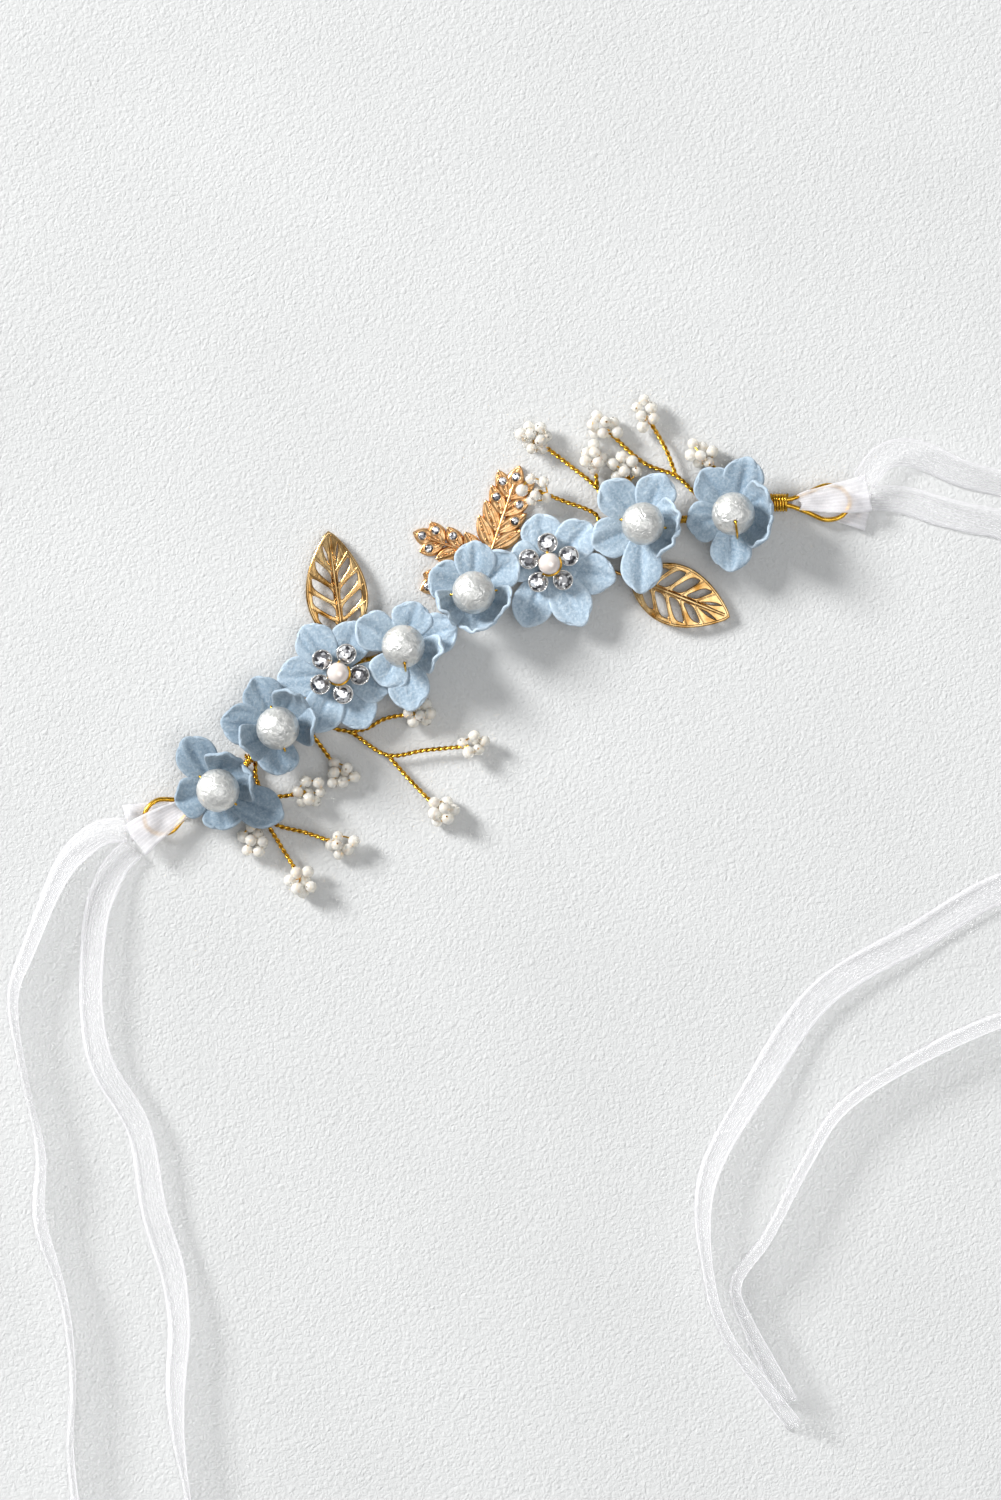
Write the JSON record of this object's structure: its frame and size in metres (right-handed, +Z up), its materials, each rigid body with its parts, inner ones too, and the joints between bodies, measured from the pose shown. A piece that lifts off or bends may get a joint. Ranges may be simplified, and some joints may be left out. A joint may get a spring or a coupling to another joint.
{
  "type": "bridal flower crown",
  "caption": "Bridal hair vine of pale blue moulded flowers with threaded pearls, crystal rings, gilt leaves, beaded wire sprigs and sheer ribbon ties.",
  "frame": {"origin": "centre of the vine's footprint, ribbons left out, on the surface it lies on", "axes": "+X along the chord between the end loops, +Y towards the outer side of the arc, +Z up from the resting surface through the flowers"},
  "size_m": [0.3453, 0.2713, 0.0159],
  "materials": {
    "gilt_wire": "polished gilt wire",
    "gilt_leaf": "polished pressed leaf",
    "rose_casting": "satin rose gold casting",
    "petal": "velvety moulded clay",
    "cotton_pearl": "crinkled pearl skin",
    "small_pearl": "smooth pearl",
    "ring_setting": "bright plated cups",
    "crystal": "cut and foiled",
    "bead_sprig": "lustre beads strung on gilt wire",
    "sheer_ribbon": "sheer organza"
  },
  "bodies": {
    "crown": {"band_wire": "gilt_wire", "loop_binding_left": "gilt_wire", "loop_binding_right": "gilt_wire", "flower_1": "petal", "pearl_pin_1": "gilt_wire", "flower_2": "petal", "pearl_pin_2": "gilt_wire", "flower_3": "petal", "pearl_pin_3": "gilt_wire", "stone_ring_3": "ring_setting", "crystal_3_1": "crystal", "crystal_3_2": "crystal", "crystal_3_3": "crystal", "crystal_3_4": "crystal", "crystal_3_5": "crystal", "flower_4": "petal", "pearl_pin_4": "gilt_wire", "flower_5": "petal", "pearl_pin_5": "gilt_wire", "flower_6": "petal", "pearl_pin_6": "gilt_wire", "stone_ring_6": "ring_setting", "crystal_6_1": "crystal", "crystal_6_2": "crystal", "crystal_6_3": "crystal", "crystal_6_4": "crystal", "crystal_6_5": "crystal", "flower_7": "petal", "pearl_pin_7": "gilt_wire", "flower_8": "petal", "pearl_pin_8": "gilt_wire", "sprig_left_tip": "bead_sprig", "sprig_left_short": "bead_sprig", "sprig_left_stub": "bead_sprig", "sprig_left_fork": "bead_sprig", "sprig_right_low": "bead_sprig", "sprig_right_fork": "bead_sprig", "sprig_right_stub": "bead_sprig", "sprig_right_tall": "bead_sprig", "sprig_right_tip": "bead_sprig", "gilt_leaf_left": "gilt_leaf", "gilt_leaf_right": "gilt_leaf", "cast_laurel": "rose_casting", "ribbon_left_fold": "sheer_ribbon", "ribbon_right_fold": "sheer_ribbon", "ribbon_left_tail_inner": "sheer_ribbon", "ribbon_left_tail_outer": "sheer_ribbon", "ribbon_right_tail_inner": "sheer_ribbon", "ribbon_right_tail_outer": "sheer_ribbon"},
    "pearl_1": {"pearl_1": "cotton_pearl"},
    "pearl_2": {"pearl_2": "cotton_pearl"},
    "pearl_3": {"pearl_3": "small_pearl"},
    "pearl_4": {"pearl_4": "cotton_pearl"},
    "pearl_5": {"pearl_5": "cotton_pearl"},
    "pearl_6": {"pearl_6": "small_pearl"},
    "pearl_7": {"pearl_7": "cotton_pearl"},
    "pearl_8": {"pearl_8": "cotton_pearl"}
  },
  "joints": [
    {"name": "pearl_1_spin", "type": "hinge", "parent": "crown", "child": "pearl_1", "pos_m": [-0.0712, -0.0072, 0.0109], "axis": [-0.454, 0.891, 0], "continuous": true},
    {"name": "pearl_2_spin", "type": "hinge", "parent": "crown", "child": "pearl_2", "pos_m": [-0.0525, -0.0002, 0.0109], "axis": [-0.1378, -0.9806, 0.1392], "continuous": true},
    {"name": "pearl_3_spin", "type": "hinge", "parent": "crown", "child": "pearl_3", "pos_m": [-0.0345, 0.0053, 0.01], "axis": [0.5, 0.866, 0], "continuous": true},
    {"name": "pearl_4_spin", "type": "hinge", "parent": "crown", "child": "pearl_4", "pos_m": [-0.0182, 0.0044, 0.0109], "axis": [-0.2731, -0.7505, 0.6018], "continuous": true},
    {"name": "pearl_5_spin", "type": "hinge", "parent": "crown", "child": "pearl_5", "pos_m": [0.0018, 0.0086, 0.0109], "axis": [-0.9397, 0.342, 0], "continuous": true},
    {"name": "pearl_6_spin", "type": "hinge", "parent": "crown", "child": "pearl_6", "pos_m": [0.0205, 0.0071, 0.01], "axis": [0.2588, 0.9659, 0], "continuous": true},
    {"name": "pearl_7_spin", "type": "hinge", "parent": "crown", "child": "pearl_7", "pos_m": [0.044, 0.0061, 0.0109], "axis": [-0.809, 0.5878, 0], "continuous": true},
    {"name": "pearl_8_spin", "type": "hinge", "parent": "crown", "child": "pearl_8", "pos_m": [0.0638, -0.0008, 0.0109], "axis": [-0.1121, -0.391, 0.9135], "continuous": true}
  ]
}
